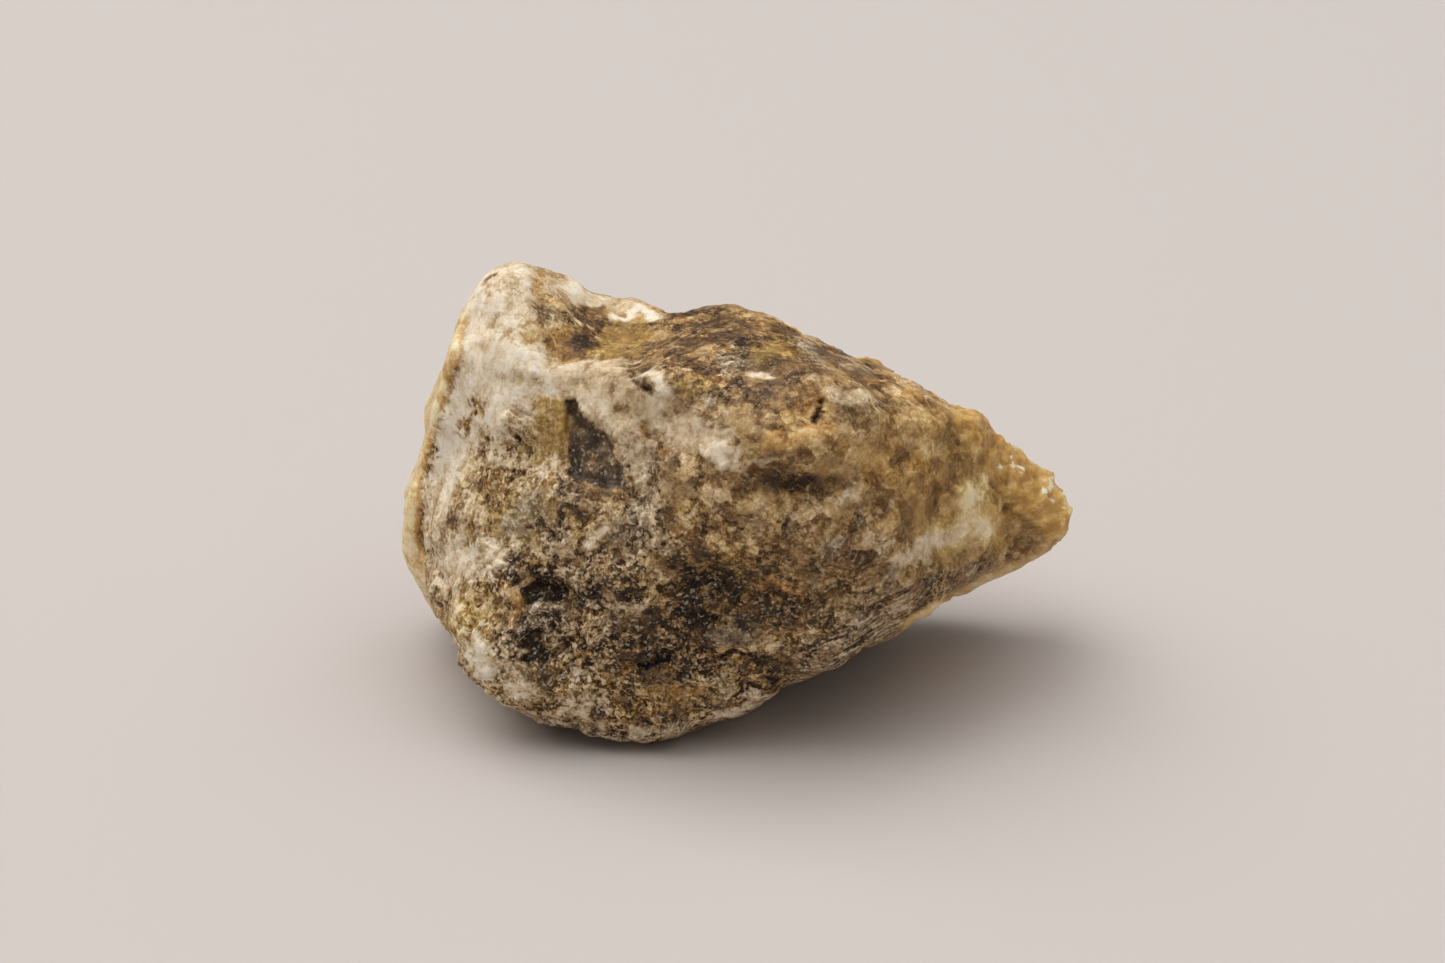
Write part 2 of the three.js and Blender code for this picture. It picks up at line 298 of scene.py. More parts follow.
    ("pit strands", "speckled", -12.3, -11.9, 2.5, 0.9, 40, 0.6),
    ("pink bowl", "pinkTan", -8.4, -9.5, 2.1, 2.1, 0, 0.85),
    ("pink bowl rim", "cream", -6.7, -8.4, 0.7, 1.5, -30, 0.7),
    ("left", "yellowOlive", -22.8, -10, 2.7, 2.7, -15, 1),
    ("left yellow", "gold", -21.9, -7.1, 1.7, 0.9, 0, 0.6),
    ("left low", "cream", -23, -4.8, 3, 2.1, 0, 0.95),
    ("left spot", "cream", -20.4, -4.1, 1.2, 1.1, 0, 0.6),
    ("left", "pinkTan", -23.6, -6.7, 1.5, 0.6, 10, 0.6),
    ("low", "whiteCream", -21.1, -13.6, 2.7, 1.7, -35, 1),
    ("low right", "cream", -18.1, -16.4, 2.1, 1.1, -30, 0.8),
    ("low grey", "plum", -19.7, -11.1, 0.6, 0.7, 0, 0.7),
    ("under layer", "yellowGlass", -20.4, -17.6, 2.7, 0.8, -35, 1),
    ("under notch", "darkBrown", -18.9, -18.3, 0.5, 0.5, 0, 0.8),
    ("dark band", "darkOlive", 1.1, -7.8, 8.2, 4.4, -5, 0.9),
    ("dark", "darkOlive", -2.9, -5.4, 3.2, 1.5, -15, 0.7),
    ("dark band", "darkBrown", 2.4, -9, 3.2, 0.8, 0, 0.7),
    ("dark", "darkBrown", -0.4, -4.3, 1.6, 1.1, -20, 0.95),
    ("dark", "black", -5.5, -3.1, 0.9, 0.6, 0, 0.7),
    ("band", "tan", -4.8, -5.7, 2.3, 1.1, 0, 0.45),
    ("rust", "rust", 5.7, -8.6, 3.2, 1.9, 0, 0.9),
    ("rust", "darkBrown", 6.3, -9.2, 1.9, 0.8, 0, 0.6),
    ("rust", "orange", 6.8, -6.7, 2.3, 0.7, 0, 0.7),
    ("rust", "darkBrown", 6.9, -7.9, 0.9, 1.3, 0, 0.5),
    ("lens", "black", -0.2, -10.4, 1.1, 0.6, 10, 0.9),
    ("lens", "cream", 3.6, -12.2, 1.2, 0.4, -15, 0.8),
    ("lens", "orangeCream", 6.7, -11.7, 3, 0.8, 12, 0.95),
    ("lens", "orange", 1.7, -12.7, 2.5, 0.4, 0, 0.9),
    ("lens", "black", 2.9, -13.3, 3, 0.3, 0, 0.8),
    ("dark dash", "black", -5.3, -14, 1.6, 0.4, 20, 1),
    ("sparkles", "white", -11.6, -15.1, 1.3, 0.7, -30, 0.8),
    ("low", "gold", -6.7, -16.6, 5.9, 2.5, 5, 0.8),
    ("low", "brown", -6.7, -16.6, 4.8, 2.3, 5, 0.4),
    ("low", "rust", -9, -13.3, 2.3, 1.1, 0, 0.4),
    ("low", "darkBrown", -4.3, -12.8, 5.7, 3.2, 0, 0.5),
    ("low right", "rust", 4.9, -15.2, 2.9, 1.5, 15, 0.7),
    ("low right", "black", 5.2, -13.8, 0.5, 1.1, -20, 0.6),
    ("low", "orange", -2.5, -16.4, 1.3, 0.9, 0, 0.6),
    ("low grey", "plum", 3.6, -17.2, 1.9, 0.6, 20, 0.5),
    ("foot", "cream", -12.8, -18.7, 1.7, 1.1, -20, 0.8),
    ("foot rim", "greyCream", -6.7, -20.8, 8.6, 0.7, 0, 0.95),
    ("foot rim", "cream", 2.4, -19, 4.9, 0.7, 26, 0.9),
    ("foot rim", "greyCream", -16.1, -19.7, 2.5, 0.6, -28, 0.9),
]

lumpLook = {
    "subdivisions": 2,
    "frontEdge": (-0.2, 0.15),  # how far a face must turn to the viewer to count as front
    "edgeWander": (1.3, 2.6),  # mm that the patches' edges wander, and over what length
    # shares of their size between which the ovals fade out
    "fades": {"patch": (0.3, 1.4), "veil": (0.5, 1.3), "form": (0.7, 1.25), "flake": (0.6, 1.2)},
    "crystal": 5.5,  # mm, size of the regions whose fibres run one way
    "crystalSwing": {"tone": 0.14, "gold": 0.4, "grey": 0.35, "olive": 0.4, "pale": 0.14},
    "pieces": 2.4,  # mm, size of the broken pieces
    "pieceSwing": {"tone": 0.16, "dark": 0.24, "pale": 0.2},
    "glassyPieces": (0.6, 0.75),  # the share of pieces that stay dull, and where glass is full
    "crispRamp": (-8, 14),  # mm from the soft upper right to the crisp lower left
    "crispness": {"least": 0.45, "slope": 1.1, "hollow": 0.28, "shoulder": 0.7},
    "fibreStretch": (7.0, 9.0),  # how drawn out the grain is, and how much more on fibrous faces
    "fibreRelief": [(1.6, 0.16), (0.7, 0.08)],  # width and height, mm
    "chips": [(3.8, 0.4), (1.6, 0.16), (0.85, 0.12)],  # block size and height, mm
    "grain": (1.9, 0.1),  # mm
    "veinBlocks": [(2.6, 0.35), (1.1, 0.16)],
    "ledges": [((15, 25), 2.3, 0.22), ((105, 65), 1.7, 0.18)],  # degrees, spacing and drop in mm
    "pointSteps": ((0, -42), 3.1, 0.3),
    "slabSwell": 0.4,  # mm
    "groove": (0.45, 0.35),  # depth and width in mm, between the slab and the fibrous face
    "bandDepth": 0.55,  # mm, under the lower right edge
    "proudReach": 8,  # rounds of smoothing that a point is compared with
    "proudFull": 0.25,  # mm
}

bareStone = {"tone": 0.5, "pale": 0.22, "dark": 0.25, "gold": 0.25,
             "grey": 0.1, "olive": 0.2, "clear": 0.0, "smooth": 0.0}

# The honey vein behind, the slab of it at the left edge, and the fibrous face and the needle
# band beside them. Pairs are mm between which a zone fades in or out.
veinLook = {
    "begins": 1.5,  # mm behind the middle
    "setBack": 11.5,  # mm further behind at the top
    "top": (26, 34),
    "wander": 1.2,
    "clouds": {"pale": 0.55, "tone": 0.5, "umber": 0.8},
}
slabLook = {
    "foot": (-10, -7.5),
    "head": (18.5, 20.5),
    "back": (-2.5, -1.0),
    "seamFoot": (-9, -7),
    "seamHead": (17, 20),
    "seamShade": (0.15, 0.3),  # mm from the slab's edge, and its width
    "seamShadeCover": (0.05, 0.4),
}
fibreLook = {
    "edge": (21.2, 0.27, 5),  # mm left, lean, and the height where that holds
    "fade": (-1.0, 3.5),
    "foot": (-12, -5),
    "underBand": (17, 19),
    "bandStart": (5.5, 8.0),
    "bandEnd": (25, 29),
}
softPlaces = {  # right and up, half width and height, tilt
    "hump": ((1.5, 15), (9, 4.5), -5),
    "bowl": ((-11.5, 17), (6, 3), -5),
}

# Which way the crystals' fibres run: name, right and up, half width and height, tilt of the
# place, and the fibres' own angle, all in mm and degrees as seen from the front.
fibreWays = [
    ("right fan", 18, 1, 9, 9, 0, 62),
    ("pale corner", 24, -2, 6, 4, 25, 34),
    ("hump", 0, 13.5, 8, 4.6, -5, 4),
    ("brow", 9, 8, 6, 3.5, 10, 20),
    ("honey ledge", 6.5, 15.5, 3.5, 3, -20, -30),
    ("middle", -6, 4, 4.5, 9, 0, 98),
    ("front white", -8, 11.5, 6, 3, 0, 70),
    ("window", -15.4, 7.5, 2.4, 4.5, 0, 88),
    ("dark band", 2, -7, 8, 4, -5, 12),
    ("pits", -14, -11, 5.5, 5.5, 0, 42),
    ("foot", -2, -17.5, 10, 2.5, 4, 8),
    ("ribs", -18, 0.5, 2.6, 3.6, -12, 68),
    ("left face", -22.5, 9, 5.5, 18, -12, 74),
    ("shoulder", -17, 15.5, 4.5, 4.5, 0, 66),
    ("left low", -22, -10, 4, 5, 0, 55),
]

# name, right and up, half width and height, tilt, mm towards the viewer, squareness
forms = [
    ("window corner", -18.9, 8.6, 1.3, 0.9, -30, 0.5, 4),
    ("window notch", -18.3, 7.8, 1.0, 0.3, -35, -0.5, 2),
    ("cleft", -6.3, 12.9, 0.25, 1.3, 38, -0.8, 2),
    ("crystal", -4.6, 13.0, 1.7, 1.3, -35, 0.5, 4),
    ("brow pit", 10.4, 9.6, 0.4, 1.0, -8, -0.7, 2),
    ("brow", 8.2, 7.4, 4.2, 1.1, 10, 0.5, 2),
    ("under brow", 8.6, 3.6, 4.6, 1.5, -6, -0.7, 2),
    ("shelf", 12.6, 11.4, 3.0, 1.0, -10, 0.4, 3),
    ("blob", 1.0, 6.0, 1.0, 1.1, 0, 0.5, 2),
    ("pit ledge", -15.6, -8.7, 1.8, 0.5, 4, 0.5, 4),
    ("pit rim", -18.7, -8.8, 0.5, 2.6, 0, 0.4, 2),
    ("pink bowl", -8.2, -9.5, 1.9, 1.9, 0, -0.5, 2),
    ("pink bowl rim", -6.4, -8.2, 0.5, 1.6, -30, 0.5, 2),
    ("lens dark", -0.2, -10.2, 1.2, 0.5, 12, -0.7, 2),
    ("lens under", 2.9, -13.3, 3.0, 0.3, 2, -0.6, 2),
    ("dark dash", -5.3, -14.0, 1.6, 0.35, 20, -0.8, 2),
    ("horn groove", -16.1, 21.9, 0.6, 1.2, 0, -0.5, 2),
    ("bowl seam", -16.0, 16.2, 0.3, 1.7, -15, 0.4, 2),
    ("notch", -24.6, -8.3, 1.2, 1.0, 50, -0.5, 2),
]

# Flat cleavage faces and pits: name, finish, strength, mm towards the viewer, half the width of
# the edge in mm, and corners anticlockwise in mm right and up
faces = [
    ("facet", "slateBrown", 1.0, -0.8, 0.15,
     [(-13.6, 3.9), (-11.4, 2.9), (-8.4, 2.7), (-8.2, 4.7), (-9.9, 7.5), (-12.8, 10.9),
      (-13.5, 11.0)]),
    ("olive window", "glassOlive", 0.95, 0.3, 0.7,
     [(-18.3, 7.9), (-17.3, 6.1), (-15.4, 5.2), (-13.6, 6.0), (-13.7, 11.5), (-16.1, 11.1)]),
    ("bowl wall", "brownGlass", 0.95, 0.0, 0.3,
     [(-15.0, 15.1), (-12.9, 15.5), (-13.1, 18.3), (-15.3, 17.6)]),
    ("bowl crystal", "brownGlassDark", 0.95, 0.25, 0.3,
     [(-13.2, 18.0), (-13.0, 16.1), (-10.4, 15.9), (-9.8, 18.3), (-10.2, 19.9), (-12.6, 19.5)]),
    ("bowl honey", "honeyGlass", 1.0, -0.1, 0.4,
     [(-10.4, 15.9), (-10.1, 15.1), (-6.7, 15.7), (-5.0, 17.6), (-6.7, 18.5), (-9.8, 18.3)]),
    ("bowl left crystal", "paleGlass", 0.8, 0.2, 0.5,
     [(-18.1, 15.9), (-16.1, 16.1), (-15.7, 17.8), (-17.3, 18.9), (-18.8, 18.3)]),
    ("lens", "greyGlass", 0.95, 0.4, 0.25,
     [(0.2, -12.3), (2.9, -12.4), (4.9, -11.9), (3.3, -10.9), (1.1, -10.4), (-0.4, -11.3)]),
    ("upper pit", "black", 0.85, -1.0, 0.5,
     [(-17.0, -8.1), (-15.7, -8.4), (-14.2, -7.9), (-13.7, -6.7), (-14.6, -5.9), (-16.5, -6.1),
      (-17.3, -7.1)]),
    ("upper pit right", "black", 0.8, -0.6, 0.5,
     [(-12.7, -8.1), (-11.4, -8.4), (-9.9, -7.8), (-10.4, -6.7), (-12.9, -7.1)]),
    ("lower pit", "black", 0.85, -1.0, 0.5,
     [(-18.1, -13.8), (-17.1, -14.9), (-15.7, -14.5), (-15.4, -12.8), (-16.1, -11.3),
      (-17.1, -10.7), (-18.1, -11.9)]),
    ("lower pit right", "black", 0.8, -0.7, 0.4,
     [(-14.4, -13.0), (-13.3, -13.4), (-13.1, -11.9), (-14.2, -11.5)]),
]

# Streaky veils over all of these: the same columns as the patches
veils = [
    ("facet right", "whiteGrey", -9.1, 7.4, 0.9, 4.6, 37, 0.95),
    ("facet top", "cream", -11.2, 11.1, 2.1, 0.9, -35, 0.8),
    ("facet scratches", "pinkTan", -10.9, 5.9, 0.4, 2.6, 37, 0.4),
    ("window top", "cream", -15.4, 11.7, 1.3, 0.6, 0, 0.7),
    ("window left", "beige", -18.4, 8.6, 0.8, 2.0, 0, 0.5),
    ("window foot", "beige", -16.0, 5.0, 2.6, 1.2, -12, 0.85),
    ("window foot", "speckled", -12.5, 2.4, 1.7, 0.7, 0, 0.7),
    ("centre", "cream", 0.2, 7.1, 3.8, 1.9, -20, 0.5),
    ("middle low", "whiteGrey", -5.5, 6.2, 1.5, 2.9, 34, 0.45),
    ("streak", "tanBrown", -6.6, 8.6, 0.7, 4.4, 34, 0.6),
    ("streak", "umber", -8.9, 6.0, 0.6, 3.0, 36, 0.5),
    ("streak", "goldTan", -3.6, 10.2, 0.6, 2.2, 30, 0.6),
    ("pit strands", "tan", -12.3, -11.9, 2.9, 0.6, 40, 0.6),
    ("pit haze", "speckled", -15.7, -9.2, 2.5, 1.1, 10, 0.5),
    ("pit haze", "umber", -15.7, -13.3, 2.1, 0.9, 30, 0.5),
    ("glint", "white", 28.8, 5.9, 0.3, 0.8, -25, 0.9),
    ("glint", "white", 28.7, 4.4, 0.4, 0.8, -20, 0.8),
    ("glint", "white", 32.2, 3.2, 0.2, 0.8, -15, 0.8),
    ("glint", "white", 31.9, 1.4, 0.2, 0.7, -10, 0.7),
    ("pink streaks", "plum", -24.4, 12.8, 0.3, 3.2, -14, 0.35),
    ("pink streaks", "plum", -25.8, 8.1, 0.3, 2.7, -20, 0.35),
    ("ochre dab", "gold", -22.4, 9.8, 0.4, 1.5, -14, 0.8),
    ("ochre dab", "gold", -23.5, 7.9, 0.3, 1.1, -20, 0.6),
    ("pink fuzz", "plumBrown", -21.9, 7.1, 2.5, 1.1, 40, 0.3),
    ("horn groove", "orange", -16.1, 21.9, 0.6, 1.2, 0, 0.9),
    ("horn stain", "gold", -14.6, 20.4, 0.9, 0.6, -20, 0.6),
    ("horn threads", "plumBrown", -21, 20.4, 0.4, 2.1, -16, 0.5),
    ("bowl dashes", "white", -12.1, 17.6, 0.9, 0.2, -10, 0.6),
    ("bowl dashes", "white", -12.5, 18.3, 0.7, 0.2, 5, 0.5),
    ("left brown", "tan", -20.7, 5.7, 1.7, 1.9, 30, 0.5),
]

# Flaky ledges: name, right and up, half width and height, angle of the ledges, spacing and height
flakes = [
    ("pits", -15.5, -9.5, 6.5, 7.5, 38, 1.4, 0.4),
    ("middle", -5.5, 0, 7, 8, 64, 1.7, 0.28),
    ("low", -2, -15, 10, 4.5, 12, 1.3, 0.26),
    ("hump", -1, 14.5, 9, 4.5, 6, 1.5, 0.16),
    ("cheek", 13, 8.5, 7, 5.5, -36, 1.7, 0.18),
    ("left low", -22, -10, 4, 6, 62, 1.5, 0.3),
]


def added(name, data):
    thing = bpy.data.objects.new(name, data)
    scene.collection.objects.link(thing)
    return thing


def fineMesh(name, source, levels):
    shape = bmesh.new()
    shape.from_mesh(source.data)
    bmesh.ops.remove_doubles(shape, verts=shape.verts, dist=1e-6)
    mesh = bpy.data.meshes.new(name)
    shape.to_mesh(mesh)
    shape.free()
    piece = added(name, mesh)
    divide = piece.modifiers.new("divide", "SUBSURF")
    divide.levels = divide.render_levels = levels
    graph = bpy.context.evaluated_depsgraph_get()
    dense = bpy.data.meshes.new_from_object(piece.evaluated_get(graph))
    piece.modifiers.clear()
    piece.data = dense
    dense.name = name
    for face in dense.polygons:
        face.use_smooth = True
    return piece


def readFloats(source, name):
    values = np.zeros(len(source) * 3, np.float32)
    source.foreach_get(name, values)
    return values.reshape(-1, 3).astype(float)


def onFront(points):
    away = points - np.array(frontLook["heart"])
    near = away @ nearAxis
    scale = frontLook["distance"] / (frontLook["distance"] - near)  # nearer looks larger
    return (away @ rightAxis) * scale, (away @ upAxis) * scale


def ovalShare(right, up, place, size, tilt, squareness=2):
    turn = math.radians(tilt)
    dx, dy = right - place[0], up - place[1]
    along = np.abs(dx * math.cos(turn) + dy * math.sin(turn)) / size[0]
    beside = np.abs(dy * math.cos(turn) - dx * math.sin(turn)) / size[1]
    return (along**squareness + beside**squareness) ** (1 / squareness)


def outsideFace(right, up, corners):
    # mm outside a face whose corners run anticlockwise, below zero inside it
    away = np.full(len(right), -99.0)
    for (x0, y0), (x1, y1) in zip(corners, corners[1:] + corners[:1]):
        length = math.hypot(x1 - x0, y1 - y0)
        away = np.maximum(away, ((right - x0) * (y1 - y0) - (up - y0) * (x1 - x0)) / length)
    return away


def nearestCell(points, size, seed):
    spots = points / size + seed
    home = np.floor(spots)
    closest = np.full(len(points), 9.0)
    nearest = np.zeros((len(points), 3))
    for step in product((-1, 0, 1), repeat=3):
        cell = home + step
        away = spots - cell - cellPoint(cell)
        distance = (away**2).sum(1)
        nearest = np.where((distance < closest)[:, None], cell, nearest)
        closest = np.minimum(closest, distance)
    return nearest


def sawtooth(turns, riser=0.16):
    along = turns - np.floor(turns)
    return np.minimum(along / (1 - riser), (1 - along) / riser) - 0.5


lump = fineMesh("calciteLump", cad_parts["calcite"], lumpLook["subdivisions"])
points = readFloats(lump.data.vertices, "co") / mm
normals = readFloats(lump.data.vertex_normals, "vector")
right, up = onFront(points)
front = smooth(normals @ nearAxis, *lumpLook["frontEdge"])
print("fine mesh:", len(points), "points,", len(lump.data.polygons), "faces")

# zones of the front, with edges that wander
fades = lumpLook["fades"]
wander, wanderSize = lumpLook["edgeWander"]
warpX = right + wander * noiseAt(points, wanderSize, 4, 5.0)
warpY = up + wander * noiseAt(points, wanderSize, 4, 25.0)
parts = {key: np.full(len(points), level) for key, level in bareStone.items()}


def lay(finish, cover):
    for key in parts:
        parts[key] = mixed(parts[key], finishes[finish].get(key, 0.0), cover)


for name, finish, *place, wide, high, tilt, strength in patches:
    share = ovalShare(warpX, warpY, place, (wide, high), tilt)
    lay(finish, strength * (1 - smooth(share, *fades["patch"])) * front)

faceAway = {}
for name, finish, strength, depth, soft, corners in faces:
    faceAway[name] = outsideFace(right, up, corners) + (0.15 + soft) * (warpX - right)
    lay(finish, strength * (1 - smooth(faceAway[name], -soft, soft)) * front)


def lineAt(name):
    # how far right a line that runs upwards is, at each point's height
    across, heights = frontLines[name]
    if heights[0] < heights[-1]:
        return np.interp(up, heights, across)
    return np.interp(-up, [-height for height in heights], across)


# the honey vein shows at the back, behind the fibrous face, and at the point
y, z = points.T[1:]
veinLine = veinLook["begins"] + veinLook["setBack"] * smooth(z, *veinLook["top"])
vein = smooth(y - veinLine - veinLook["wander"] * noiseAt(points, 5, 2, 41.0), -0.3, 0.6)
slabLine = np.where(up > -0.85, lineAt("slab"), lineAt("slabLow"))
slabAway = right - slabLine + 0.25 * noiseAt(points, 1.6, 2, 61.0)
slab = smooth(-slabAway, -0.2, 0.3) * smooth(y, *slabLook["back"])
slab *= smooth(up + noiseAt(points, 3, 2, 77.0), *slabLook["foot"])
slab *= 1 - smooth(up, *slabLook["head"])
pointAway = right - lineAt("point") + 0.5 * noiseAt(points, 2.2, 3, 71.0)
point = smooth(pointAway, -0.25, 0.35)
vein = np.maximum(np.maximum(vein, point), slab)
lay("honey", vein)
slab = slab * front  # behind, the slab is the vein itself
lay("slabTan", slab)
# a painted shade line along the groove between the slab and the fibrous face
seamPlace, seamWidth = slabLook["seamShade"]
seamLeast, seamMore = slabLook["seamShadeCover"]
seamRun = smooth(up, *slabLook["seamFoot"]) * (1 - smooth(up, *slabLook["seamHead"]))
seamShade = bell(slabAway - seamPlace, seamWidth) * seamRun
seamShadeCover = seamLeast + seamMore * smooth(noiseAt(points, 3.5, 2, 33.0), -0.2, 0.5)
lay("seamShade", seamShade * front * seamShadeCover)
parts["clear"] = mixed(parts["clear"], 1.0, vein)

clouds = veinLook["clouds"]
behind = vein * (1 - point) * (1 - slab) * (1 - 0.8 * front)
parts["pale"] += clouds["pale"] * behind * smooth(noiseAt(points, 8, 3, 103.0), 0.0, 0.5)
parts["tone"] += clouds["tone"] * behind * noiseAt(points, 5, 3, 111.0)
lay("umber", clouds["umber"] * behind * smooth(noiseAt(points, 9, 4, 121.0), 0.25, 0.5))

# fibres on the left face, needles in the band under the lower right edge
crease = up - np.interp(right, *frontLines["crease"])
band = smooth(-crease, -0.25, 0.35)
band *= smooth(right, *fibreLook["bandStart"]) * (1 - smooth(right, *fibreLook["bandEnd"]))
bandFoot = up - np.interp(right, *frontLines["bandFoot"])
underBand = smooth(-bandFoot, -0.3, 0.5) * smooth(right, *fibreLook["underBand"])
# the band's finish is partly painted shade, as the band faces down
lay("needles", band)
lay("slabTan", underBand)
edgeLeft, edgeLean, edgeHeight = fibreLook["edge"]
leftAway = right + edgeLeft + edgeLean * (edgeHeight - up)
fibre = (1 - smooth(leftAway, *fibreLook["fade"])) * smooth(up, *fibreLook["foot"]) * (1 - slab)
fibre = np.maximum(fibre, bell(slabAway - 0.6, 0.7))
parts["fibre"] = fibre
parts["band"] = band * (1 - underBand)
print("zones laid:", len(patches), "patches")

# every crystal has its own way for its fibres, and the named places have theirs
crystalPlace = points + 0.8 * noiseAt(points, 2.0, 3, 83.0)[:, None]
crystal = nearestCell(crystalPlace, lumpLook["crystal"], 0.4)
way = cellPoint(crystal, 3) - 0.5


def wayAt(angle):
    a = math.radians(angle)
    return math.cos(a) * rightAxis + math.sin(a) * upAxis


for name, *place, wide, high, tilt, angle in fibreWays:
    inside = (ovalShare(warpX, warpY, place, (wide, high), tilt) < 1) & (front > 0.3)
    way = np.where(inside[:, None], wayAt(angle), way)
way = np.where((slabAway < 1.5)[:, None] & (slabAway > -0.3)[:, None], wayAt(74), way)
way = np.where(parts["band"][:, None] > 0.3, wayAt(29), way)
way /= np.linalg.norm(way, axis=1)[:, None]
along = (points * way).sum(1)
leastStretch, moreStretch = lumpLook["fibreStretch"]
stretch = leastStretch + moreStretch * np.maximum(fibre, parts["band"])
grainPlace = points - way * (along * (1 - 1 / stretch))[:, None]
for key, swing in lumpLook["crystalSwing"].items():
    calm = (1 - 0.7 * parts["pale"]) * (1 - 0.6 * parts["smooth"]) * (1 - 0.7 * fibre)
    parts[key] = parts[key] + swing * calm * (cellRandom(crystal, len(key) * 3 + swing) - 0.5)

# broken pieces, some of them glassy
piecePlace = points + 0.5 * noiseAt(points, 1.2, 2, 95.0)[:, None]
piece = nearestCell(piecePlace, lumpLook["pieces"], 7.7)
plain = (1 - vein) * (1 - fibre) * (1 - 0.6 * parts["pale"])
glassy = smooth(cellRandom(piece, 1), *lumpLook["glassyPieces"]) * plain
parts["smooth"] = np.maximum(parts["smooth"], 0.65 * glassy)
for salt, (key, swing) in enumerate(lumpLook["pieceSwing"].items(), 2):
    parts[key] += swing * plain * (cellRandom(piece, salt) - 0.5)

# veils drawn out along the fibres
strands = noiseAt(grainPlace, 1.1, 4, 91.0)
for name, finish, *place, wide, high, tilt, strength in veils:
    share = ovalShare(warpX, warpY, place, (wide, high), tilt) + 1.3 * strands
    lay(finish, strength * (1 - smooth(share, *fades["veil"])) * front)

# the stone is crisper low on the left and worn softer up and to the right
crispness = lumpLook["crispness"]
crispAt = -0.75 * up - 0.35 * right
hump, bowl = [(1 - smooth(ovalShare(right, up, *place), 0.6, 1.3)) * front
              for place in softPlaces.values()]
shoulder = smooth(-12 - right, 0, 7) * smooth(up, 0, 8)
crispFront = crispness["least"] + crispness["slope"] * smooth(crispAt, *lumpLook["crispRamp"])
crispFront += crispness["hollow"] * np.maximum(hump, bowl) + crispness["shoulder"] * shoulder
parts["crisp"] = crisp = mixed(1.0, crispFront, front)
ownStreak = (0.1 + 0.3 * cellRandom(crystal, 6)) * (1 - 0.8 * hump)
parts["streak"] = np.clip(0.7 * (fibre + parts["band"]) + ownStreak, 0, 1)
lowShade = 0.15 * smooth(crispAt, -3, 9) * front * (1 - vein) * (1 - fibre)
parts["tone"] -= lowShade * (1 - 0.5 * smooth(-19 - right, 0, 4))

# relief, along the normals and for the named forms towards the viewer
rough = (1 - vein) * (1 - 0.75 * fibre) * (1 - 0.7 * parts["band"]) * (1 - 0.8 * parts["smooth"])
rise = np.zeros(len(points))
chipTone = np.zeros(len(points))
for size, height in lumpLook["chips"]:
    blocks, blockTone = chipsAt(points, size, size * 3)
    rise += height * mixed(0.3, 1, rough) * blocks * (crisp if size < 2 else 1)
    chipTone += 0.5 * (blockTone - 0.5)
grainSize, grainHeight = lumpLook["grain"]
rise += grainHeight * rough * noiseAt(points, grainSize, 2, 9.0)
drawn = np.clip(0.4 + parts["fibre"] + parts["band"] + 0.5 * parts["pale"], 0, 1)
drawn = drawn * (1 - 0.5 * vein) * (1 - 0.7 * parts["smooth"])
for size, height in lumpLook["fibreRelief"]:
    rise += height * drawn * noiseAt(grainPlace, size, 2, 3.0)
for size, height in lumpLook["veinBlocks"]:
    rise += vein * (1 - slab) * height * chipsAt(points, size, size * 5, 40.0)[0]
drift = 0.5 * noiseAt(points, 6, 2, 17.0)
for ledgeBearing, spacing, drop in lumpLook["ledges"]:
    rise += vein * drop * sawtooth(points @ bearing(*ledgeBearing) / spacing + drift)
stepBearing, stepSpacing, stepDrop = lumpLook["pointSteps"]
stepTurns = points @ bearing(*stepBearing) / stepSpacing + 0.3 * drift
rise += smooth(right, 25, 28) * stepDrop * sawtooth(stepTurns)

toViewer = np.zeros(len(points))
for name, *place, wide, high, tilt, depth, squareness in forms:
    keep = 0.15 if squareness > 3 else 0.6
    share = ovalShare(right + keep * (warpX - right), up + keep * (warpY - up),
                      place, (wide, high), tilt, squareness)
    toViewer += depth * (1 - smooth(share, *fades["form"]))
for name, finish, strength, depth, soft, corners in faces:
    toViewer += depth * (1 - smooth(faceAway[name], -0.15 - soft, 0.1 + soft))
bend = noiseAt(points, 3.2, 3, 57.0)
for name, *place, wide, high, angle, spacing, height in flakes:
    share = ovalShare(warpX, warpY, place, (wide, high), 0)
    inside = 1 - smooth(share, *fades["flake"])
    a = math.radians(angle)
    turns = (up * math.cos(a) - right * math.sin(a)) / spacing + bend
    toViewer += inside * rough * height * sawtooth(turns, 0.3)
grooveDepth, grooveWidth = lumpLook["groove"]
toViewer -= grooveDepth * bell(slabAway, grooveWidth) * seamRun
bandShare = smooth(right, 6.5, 9) * (1 - smooth(right, 22, 27))
toViewer -= lumpLook["bandDepth"] * smooth(-crease, 0, 1.0) * bandShare * (1 - underBand)

rise = mixed(rise, lumpLook["slabSwell"] + 0.3 * rise, slab)
fine = points + normals * rise[:, None] + nearAxis * (toViewer * front)[:, None]
fine[:, 2] = np.maximum(fine[:, 2], 0)  # nothing goes below the resting spot
lump.data.vertices.foreach_set("co", (fine * mm).astype(np.float32).ravel())
lump.data.update()

# how far each point stands proud of its neighbours, for dirt and wear, and for painted shade in
# hollows and painted highlights on ridges
edges = np.zeros(len(lump.data.edges) * 2, np.int32)
lump.data.edges.foreach_get("vertices", edges)
first, second = edges.reshape(-1, 2).T
count = np.bincount(first, minlength=len(fine)) + np.bincount(second, minlength=len(fine))
around = fine
for turn in range(lumpLook["proudReach"]):
    total = np.zeros_like(around)
    np.add.at(total, first, around[second])
    np.add.at(total, second, around[first])
    around = total / count[:, None]
proud = ((fine - around) * normals).sum(1)
parts["proud"] = np.clip(proud / lumpLook["proudFull"], -1, 1)
parts["chip"] = chipTone
print("relief made:", round(float(proud.min()), 2), "to", round(float(proud.max()), 2), "mm")

